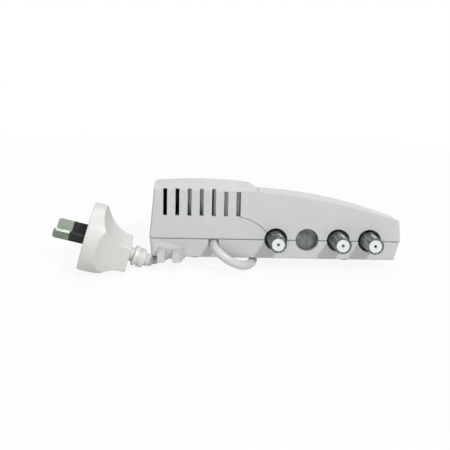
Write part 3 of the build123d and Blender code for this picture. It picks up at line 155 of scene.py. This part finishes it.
case_plastic = moulded("case_plastic", (0.466, 0.471, 0.474), 0.42, edge=CASE_EDGE_RADIUS)
cord_pvc = moulded("cord_pvc", (0.47, 0.485, 0.477), 0.38, grain_scale=1500.0, grain=0.12)
plug_pvc = moulded("plug_pvc", (0.52, 0.522, 0.50), 0.40, grain_scale=1800.0, grain=0.15)
foot_rubber = moulded("foot_rubber", (0.05, 0.05, 0.052), 0.75, grain_scale=1800.0, grain=0.4)
# Nickel: the strong dark streaks along the barrel axis are painted reflection streaks as well as
# drawn marks
nickel = metal("nickel", (0.26, 0.30, 0.30), 0.2, stretch=(1.0, 0.05, 1.0), wear_and_reflection=0.9)
screw_steel = metal("screw_steel", (0.56, 0.56, 0.57), 0.34)
screen_sheet = metal("screen_sheet", (0.17, 0.20, 0.19), 0.42, wear_and_reflection=0.6, scale=300.0, shine=0.3)
dielectric = moulded("dielectric", (0.60, 0.63, 0.645), 0.34, grain_scale=2500.0, grain=0.1)
contact_metal = metal("contact_metal", (0.33, 0.29, 0.23), 0.45)
ferrite = moulded("ferrite", (0.05, 0.05, 0.055), 0.7, grain_scale=3000.0, grain=0.5)
component_black = moulded("component_black", (0.025, 0.025, 0.028), 0.5)
component_tan = moulded("component_tan", (0.42, 0.27, 0.13), 0.5)
bobbin_plastic = moulded("bobbin_plastic", (0.05, 0.05, 0.048), 0.5)
capacitor_sleeve = moulded("capacitor_sleeve", (0.015, 0.02, 0.06), 0.3)
heat_sink_metal = metal("heat_sink_aluminium", (0.72, 0.72, 0.73), 0.36, stretch=(1.0, 1.0, 0.1))
clip_steel = metal("clip_steel", (0.6, 0.58, 0.53), 0.3)
clamp_plastic = moulded("clamp_plastic", (0.68, 0.65, 0.57), 0.5)
pin_brass = metal("pin_brass", (0.23, 0.265, 0.22), 0.3, stretch=(0.15, 0.15, 1.0), wear_and_reflection=0.3)
sleeve_plastic = moulded("sleeve_plastic", (0.004, 0.005, 0.005), 0.8)


def laminated_steel():
    """Stacked transformer laminations: thin dark lines across the stack."""
    material, tree, shader = new_material("core_steel")
    coords = tree.nodes.new("ShaderNodeTexCoord")
    wave = tree.nodes.new("ShaderNodeTexWave")
    wave.wave_type = "BANDS"
    wave.bands_direction = "Z"
    wave.inputs["Scale"].default_value = 620.0
    wave.inputs["Distortion"].default_value = 0.6
    tree.links.new(coords.outputs["Object"], wave.inputs["Vector"])
    tree.links.new(
        ramp(tree, wave.outputs["Fac"], (0.10, 0.09, 0.085), (0.30, 0.28, 0.26)),
        shader.inputs["Base Color"],
    )
    shader.inputs["Metallic"].default_value = 0.7
    tree.links.new(ramp(tree, noise(tree, 300.0), 0.45, 0.65), shader.inputs["Roughness"])
    bump(tree, shader, wave.outputs["Fac"], 0.3, LAMINATION_DEPTH)
    return material


def wound_copper():
    """Enamelled wire laid in turns across a winding."""
    material, tree, shader = new_material("winding_copper")
    coords = tree.nodes.new("ShaderNodeTexCoord")
    wave = tree.nodes.new("ShaderNodeTexWave")
    wave.wave_type = "BANDS"
    wave.bands_direction = "Y"
    wave.inputs["Scale"].default_value = 700.0
    tree.links.new(coords.outputs["Object"], wave.inputs["Vector"])
    tree.links.new(
        ramp(tree, wave.outputs["Fac"], (0.22, 0.07, 0.03), (0.55, 0.24, 0.10)),
        shader.inputs["Base Color"],
    )
    shader.inputs["Metallic"].default_value = 0.9
    tree.links.new(ramp(tree, noise(tree, 400.0), 0.3, 0.42), shader.inputs["Roughness"])
    bump(tree, shader, wave.outputs["Fac"], 0.5, WIRE_DEPTH)
    return material


def circuit_board():
    """Lacquered laminate with a faint glass weave and copper areas."""
    material, tree, shader = new_material("circuit_board")
    areas = noise(tree, 160.0, 1.0, 0.3)
    tree.links.new(
        ramp(tree, areas, (0.03, 0.09, 0.03), (0.06, 0.16, 0.05), 0.49, 0.51),
        shader.inputs["Base Color"],
    )
    tree.links.new(ramp(tree, noise(tree, 700.0), 0.3, 0.45), shader.inputs["Roughness"])
    bump(tree, shader, areas, 0.2, TRACK_DEPTH)
    return material


def clear_glass():
    """Glass tube with faint smears."""
    material, tree, shader = new_material("fuse_glass")
    tree.links.new(
        ramp(tree, noise(tree, 90.0), (0.80, 0.83, 0.83), (0.88, 0.90, 0.90)),
        shader.inputs["Base Color"],
    )
    shader.inputs["Transmission Weight"].default_value = 0.85
    smears = noise(tree, 260.0)
    tree.links.new(ramp(tree, smears, 0.03, 0.1), shader.inputs["Roughness"])
    bump(tree, shader, smears, 0.05, MARK_DEPTH)
    return material


def wire_insulation():
    """Brown insulation with a slow colour drift."""
    material, tree, shader = new_material("wire_insulation")
    drift = noise(tree, 60.0)
    tree.links.new(
        ramp(tree, drift, (0.13, 0.05, 0.02), (0.20, 0.08, 0.035)), shader.inputs["Base Color"]
    )
    tree.links.new(ramp(tree, noise(tree, 400.0), 0.34, 0.46), shader.inputs["Roughness"])
    bump(tree, shader, noise(tree, 1500.0), 0.1, MARK_DEPTH)
    return material


def shade_painted_steel():
    """Screen of the transformer: dull steel with painted light towards its top and painted shade
    towards its foot.
    """
    material, tree, shader = new_material("transformer_screen")
    coords = tree.nodes.new("ShaderNodeTexCoord")
    parts = tree.nodes.new("ShaderNodeSeparateXYZ")
    tree.links.new(coords.outputs["Object"], parts.inputs["Vector"])
    height = tree.nodes.new("ShaderNodeMapRange")
    height.inputs["From Min"].default_value = SCREEN_SHADE_FOOT_Z
    height.inputs["From Max"].default_value = SCREEN_LIT_TOP_Z
    tree.links.new(parts.outputs["Z"], height.inputs["Value"])
    # Painted light and shade: near white at the top, lit through the vent slots, and dark teal at
    # the foot, where shade falls
    tree.links.new(
        ramp(tree, height.outputs["Result"], (0.16, 0.27, 0.28), (0.95, 0.90, 0.84), 0.1, 0.95),
        shader.inputs["Base Color"],
    )
    shader.inputs["Metallic"].default_value = 0.3
    marks = noise(tree, 500.0, 4.0)
    tree.links.new(ramp(tree, marks, 0.42, 0.6), shader.inputs["Roughness"])
    bump(tree, shader, marks, 0.2, MARK_DEPTH)
    return material


core_steel = laminated_steel()
winding_copper = wound_copper()
board_laminate = circuit_board()
fuse_glass = clear_glass()
wire_cover = wire_insulation()
# Transformer screen: painted light at its top, painted shade at its foot
shade_painted_screen = shade_painted_steel()

NODE_MATERIALS = {
    "transformer_cover": case_plastic,
    "main_cover": case_plastic,
    "lower_shell": case_plastic,
    "rubber_feet": foot_rubber,
    "case_screws": screw_steel,
    "rf_box": screen_sheet,
    "rf_box_lid": screen_sheet,
    "rf_box_screws": screw_steel,
    "rf_board": board_laminate,
    "input_connector": nickel,
    "output_connector_1": nickel,
    "output_connector_2": nickel,
    "connector_insulators": dielectric,
    "connector_contacts": contact_metal,
    "connector_washers": nickel,
    "connector_nuts": nickel,
    "ferrite_cores": ferrite,
    "rf_transistors": component_black,
    "rf_capacitors": component_tan,
    "transformer_core": core_steel,
    # The transformer screen's colour paints the light and shade seen through the vent slots
    "transformer_screen": shade_painted_screen,
    "transformer_screws": screw_steel,
    "transformer_bobbin": bobbin_plastic,
    "primary_winding": winding_copper,
    "secondary_winding": winding_copper,
    "power_board": board_laminate,
    "power_board_screws": screw_steel,
    "filter_capacitor": capacitor_sleeve,
    "rectifier_diodes": component_black,
    "voltage_regulator": component_black,
    "heat_sink": heat_sink_metal,
    "fuse": fuse_glass,
    "fuse_clips": clip_steel,
    "cord_clamp": clamp_plastic,
    "clamp_screws": screw_steel,
    "cord_inner_end": cord_pvc,
    "mains_wiring": wire_cover,
    "secondary_wiring": wire_cover,
    "plug_body": plug_pvc,
    "plug_pins": pin_brass,
    "pin_sleeves": sleeve_plastic,
    "plug_strain_relief": plug_pvc,
}
for name, material in NODE_MATERIALS.items():
    mesh = nodes[name].data
    mesh.materials.clear()
    mesh.materials.append(material)


# Camera
LENS = 36.0
SENSOR = 36.0
CAMERA_PLACE = (-42.64, -280.76, 99.85)
CAMERA_PITCH = -5.0
CAMERA_ROLL = 0.9638
PRINCIPAL_POINT = (202.67, 134.07)
FRAME_SIZE = 450.0
NEAR_CLIP = 0.01
FAR_CLIP = 20.0

camera_data = bpy.data.cameras.new("camera")
camera_data.lens = LENS
camera_data.sensor_width = SENSOR
camera_data.shift_x = (FRAME_SIZE / 2 - PRINCIPAL_POINT[0]) / FRAME_SIZE
camera_data.shift_y = (PRINCIPAL_POINT[1] - FRAME_SIZE / 2) / FRAME_SIZE
camera_data.clip_start = NEAR_CLIP
camera_data.clip_end = FAR_CLIP
camera = bpy.data.objects.new("camera", camera_data)
bpy.context.scene.collection.objects.link(camera)
pitch = math.radians(CAMERA_PITCH)
roll = math.radians(CAMERA_ROLL)
ahead = Vector((0.0, math.cos(pitch), math.sin(pitch)))
level_right = Vector((1.0, 0.0, 0.0))
level_up = level_right.cross(ahead)
right = level_right * math.cos(roll) + level_up * math.sin(roll)
up = level_up * math.cos(roll) - level_right * math.sin(roll)
camera.matrix_world = Matrix.Translation(Vector(CAMERA_PLACE) * MM) @ Matrix(
    (right, up, -ahead)
).transposed().to_4x4()
bpy.context.scene.camera = camera


# Mains cord
SPLINE_PUSH_POWER = 1.33


def coil_points():
    """Control points of the wound coil: in on the table, up one layer and out again."""
    points = []
    push = 1 / math.cos(math.pi / COIL_POINTS_PER_HALF / 2) ** SPLINE_PUSH_POWER
    for index in range(COIL_HALF_TURNS * COIL_POINTS_PER_HALF + 1):
        half_turns = index / COIL_POINTS_PER_HALF
        inward = min(half_turns, COIL_HALF_TURNS - half_turns)
        radius = (COIL_RADIUS - COIL_PITCH * inward / 2) * push
        climb = min(max(half_turns - COIL_HALF_TURNS / 2 + 0.5, 0.0), 1.0)
        climb = climb * climb * (3 - 2 * climb)
        angle = math.pi * half_turns
        points.append((
            COIL_CENTER[0] + radius * math.cos(angle),
            COIL_CENTER[1] + radius * math.sin(angle),
            CORD_DIAMETER / 2 + COIL_RISE * climb,
        ))
    return points


relief_tip = Vector((-72.4, FRONT_Y + 0.95, 3.7))
relief_tip_slope = Vector((0.62, 0.74, -0.28)).normalized()
route = [
    (-35.3, FRONT_Y, 14.1),
    (-35.3, FRONT_Y - 5.2, 14.1),
    (-32.3, FRONT_Y - 8.4, 11.9),
    (-26.5, FRONT_Y - 9.6, 7.8),
    (-19.3, FRONT_Y - 6.6, 4.1),
    (-13.7, FRONT_Y - 0.6, 2.9),
    (-11.2, FRONT_Y + 8.5, 2.5),
    (-10.4, FRONT_Y + 22.0, 2.5),
    (-6.3, FRONT_Y + 40.0, 2.5),
    (4.0, FRONT_Y + 58.0, 2.5),
    (13.0, FRONT_Y + 76.0, 2.5),
    (13.0, FRONT_Y + 92.0, 2.5),
]
route += coil_points()
route += [
    (-58.0, 64.25, 8.0),
    (-58.0, 55.25, 8.0),
    (-58.6, 44.25, 5.0),
    (-58.6, FRONT_Y + 60.0, 2.5),
    (-59.2, FRONT_Y + 45.0, 2.5),
    (-58.4, FRONT_Y + 33.0, 2.5),
    (-59.4, FRONT_Y + 22.0, 2.5),
    (-63.4, FRONT_Y + 12.0, 2.5),
    tuple(relief_tip + relief_tip_slope * 4.2),
    tuple(relief_tip),
]

cord_curve = bpy.data.curves.new("mains_cord", "CURVE")
cord_curve.dimensions = "3D"
cord_curve.bevel_depth = CORD_DIAMETER / 2 * MM
cord_curve.bevel_resolution = 6
cord_curve.resolution_u = 8
cord_curve.use_fill_caps = True
spline = cord_curve.splines.new("NURBS")
spline.points.add(len(route) - 1)
for point, place in zip(spline.points, route):
    point.co = (*(value * MM for value in place), 1.0)
spline.order_u = 3
spline.use_endpoint_u = True
cord_curve.materials.append(cord_pvc)
mains_cord = bpy.data.objects.new("mains_cord", cord_curve)
bpy.context.scene.collection.objects.link(mains_cord)
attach(mains_cord, "root")
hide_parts("cord_lead", "cord_coil", "cord_tail")


# Dressed CAD pieces
def keep(piece, node):
    """Let a piece ride on the object and stand for a CAD node."""
    bpy.context.scene.collection.objects.link(piece)
    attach(piece, "root")
    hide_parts(node)


def settled(blank, node):
    """Mesh of an object after its modifiers, standing for a CAD node in its material."""
    graph = bpy.context.evaluated_depsgraph_get()
    mesh = bpy.data.meshes.new_from_object(blank.evaluated_get(graph))
    bpy.data.objects.remove(blank)
    mesh.materials.clear()
    mesh.materials.append(NODE_MATERIALS[node])
    piece = bpy.data.objects.new(node + "_form", mesh)
    keep(piece, node)
    return piece


def dressed(node):
    """Copy of a CAD node with welded faces, flat where it is flat and smooth where it curves."""
    form = bmesh.new()
    form.from_mesh(nodes[node].data)
    bmesh.ops.remove_doubles(form, verts=form.verts, dist=WELD_DISTANCE)
    mesh = bpy.data.meshes.new(node + "_welded")
    form.to_mesh(mesh)
    form.free()
    mesh.shade_smooth()
    mesh.set_sharp_from_angle(angle=math.radians(CASE_SHARP_ANGLE))
    blank = bpy.data.objects.new(node + "_blank", mesh)
    bpy.context.scene.collection.objects.link(blank)
    even = blank.modifiers.new("even", "WEIGHTED_NORMAL")
    even.mode = "FACE_AREA"
    even.weight = 100
    even.keep_sharp = True
    return settled(blank, node)


def softened(node, voxel, rounds):
    """Copy of a CAD node rebuilt in fine facets whose edges are rubbed soft."""
    blank = bpy.data.objects.new(node + "_blank", nodes[node].data.copy())
    bpy.context.scene.collection.objects.link(blank)
    remesh = blank.modifiers.new("remesh", "REMESH")
    remesh.mode = "VOXEL"
    remesh.voxel_size = voxel * MM
    remesh.use_smooth_shade = True
    rub = blank.modifiers.new("rub", "SMOOTH")
    rub.iterations = rounds
    rub.factor = 0.5
    return settled(blank, node)


def threaded_socket(node, x):
    """Socket body turned from its section, with thread ridges round the barrel."""
    tip = FRONT_Y - BARREL_REACH
    crest = 4.75
    root = 4.4
    pitch = 0.8
    bore = 3.65
    inner_radius = 4.0
    flange_radius = 5.8
    inner_end = FRONT_Y + 7.0
    flange_back = FRONT_Y + 3.6
    flange_front = FRONT_Y - 0.4
    cone_end = FRONT_Y - 2.6
    thread_start = FRONT_Y - 3.0
    thread_end = tip + 0.9
    chamfer = 0.4
    section = [
        (inner_end, bore),
        (inner_end, inner_radius),
        (flange_back, inner_radius),
        (flange_back, flange_radius),
        (flange_front, flange_radius),
        (cone_end, crest),
    ]
    y = thread_start
    while y > thread_end:
        section += [(y, crest), (y - 0.35 * pitch, root), (y - 0.55 * pitch, root)]
        y -= pitch
    section += [(tip + chamfer, crest), (tip, crest - chamfer), (tip, bore)]
    steps = 72
    points = []
    for step in range(steps):
        angle = 2 * math.pi * step / steps
        for y, radius in section:
            points.append((
                (x + radius * math.cos(angle)) * MM,
                y * MM,
                (PARTING_Z + radius * math.sin(angle)) * MM,
            ))
    count = len(section)
    faces = []
    for step in range(steps):
        ring = step * count
        other = (step + 1) % steps * count
        for index in range(count):
            after = (index + 1) % count
            faces.append((ring + index, ring + after, other + after, other + index))
    mesh = bpy.data.meshes.new(node + "_threaded")
    mesh.from_pydata(points, [], faces)
    form = bmesh.new()
    form.from_mesh(mesh)
    bmesh.ops.recalc_face_normals(form, faces=form.faces)
    form.to_mesh(mesh)
    form.free()
    mesh.materials.append(nickel)
    mesh.shade_smooth()
    mesh.set_sharp_from_angle(angle=math.radians(THREAD_SHARP_ANGLE))
    keep(bpy.data.objects.new(node + "_turned", mesh), node)


for node in ("transformer_cover", "main_cover", "lower_shell"):
    dressed(node)
plug_form = softened("plug_body", voxel=0.35, rounds=16)
relief_form = softened("plug_strain_relief", voxel=0.22, rounds=2)
for node, x in zip(("input_connector", "output_connector_1", "output_connector_2"), SOCKET_XS):
    threaded_socket(node, x)


# Floor and light
def seen_directly(tree):
    """One for rays from the camera, mirrors and glass, and zero for the light between surfaces."""
    path = tree.nodes.new("ShaderNodeLightPath")
    seen = path.outputs["Is Camera Ray"]
    for kind in ("Is Glossy Ray", "Is Transmission Ray"):
        either = tree.nodes.new("ShaderNodeMath")
        either.operation = "MAXIMUM"
        tree.links.new(seen, either.inputs[0])
        tree.links.new(path.outputs[kind], either.inputs[1])
        seen = either.outputs["Value"]
    return seen


def stage_material(name, color, share):
    """Pale surface seen near white, that keeps soft shadows and fades to white far off."""
    material, tree, shader = new_material(name)
    shader.inputs["Base Color"].default_value = (color, color, color, 1.0)
    shader.inputs["Roughness"].default_value = 0.9
    shader.inputs["Specular IOR Level"].default_value = 0.1
    glow = tree.nodes.new("ShaderNodeEmission")
    glow.inputs["Color"].default_value = (1.0, 1.0, 1.0, 1.0)
    coords = tree.nodes.new("ShaderNodeTexCoord")
    distance = tree.nodes.new("ShaderNodeVectorMath")
    distance.operation = "LENGTH"
    tree.links.new(coords.outputs["Object"], distance.inputs[0])
    fade = tree.nodes.new("ShaderNodeMapRange")
    fade.inputs["From Min"].default_value = FADE_START
    fade.inputs["From Max"].default_value = FADE_END
    fade.inputs["To Min"].default_value = share
    fade.inputs["To Max"].default_value = 1.0
    tree.links.new(distance.outputs["Value"], fade.inputs["Value"])
    white = tree.nodes.new("ShaderNodeMath")
    white.operation = "MULTIPLY"
    tree.links.new(seen_directly(tree), white.inputs[0])
    tree.links.new(fade.outputs["Result"], white.inputs[1])
    mixed = tree.nodes.new("ShaderNodeMixShader")
    output = tree.nodes["Material Output"]
    tree.links.new(white.outputs["Value"], mixed.inputs["Fac"])
    tree.links.new(shader.outputs["BSDF"], mixed.inputs[1])
    tree.links.new(glow.outputs["Emission"], mixed.inputs[2])
    tree.links.new(mixed.outputs["Shader"], output.inputs["Surface"])
    return material


FLOOR_HALF = 3.0
FADE_START = 0.25
FADE_END = 0.9
SKY_LIGHT = 0.28
SKY_SEEN = 1.0

floor_mesh = bpy.data.meshes.new("floor")
floor_mesh.from_pydata(
    [
        (-FLOOR_HALF, -FLOOR_HALF, 0),
        (FLOOR_HALF, -FLOOR_HALF, 0),
        (FLOOR_HALF, FLOOR_HALF, 0),
        (-FLOOR_HALF, FLOOR_HALF, 0),
    ],
    [],
    [(0, 1, 2, 3)],
)
floor_mesh.materials.append(stage_material("floor", color=0.7, share=0.9))
floor = bpy.data.objects.new("floor", floor_mesh)
bpy.context.scene.collection.objects.link(floor)

world = bpy.data.worlds.new("world")
bpy.context.scene.world = world
world.use_nodes = True
sky_tree = world.node_tree
sky = sky_tree.nodes["Background"]
sky.inputs["Color"].default_value = (1.0, 1.0, 1.0, 1.0)
sky_mix = sky_tree.nodes.new("ShaderNodeMapRange")
sky_mix.inputs["To Min"].default_value = SKY_LIGHT
sky_mix.inputs["To Max"].default_value = SKY_SEEN
sky_tree.links.new(seen_directly(sky_tree), sky_mix.inputs["Value"])
sky_tree.links.new(sky_mix.outputs["Result"], sky.inputs["Strength"])


def area_light(name, place, size, power):
    """Round soft lamp aimed at the middle of the object."""
    light = bpy.data.lights.new(name, "AREA")
    light.shape = "DISK"
    light.size = size
    light.energy = power
    lamp = bpy.data.objects.new(name, light)
    bpy.context.scene.collection.objects.link(lamp)
    lamp.location = place
    aim = LIGHT_TARGET - Vector(place)
    lamp.rotation_euler = aim.to_track_quat("-Z", "Y").to_euler()


LIGHT_TARGET = Vector((0.0, 0.0, 0.03))
area_light("key", (0.62, -0.85, 0.95), size=0.16, power=14.0)
area_light("fill", (-0.4, -1.4, 0.35), size=0.7, power=6.0)
area_light("top", (0.0, 0.3, 1.4), size=1.0, power=10.5)

bpy.context.scene.view_settings.view_transform = "Standard"
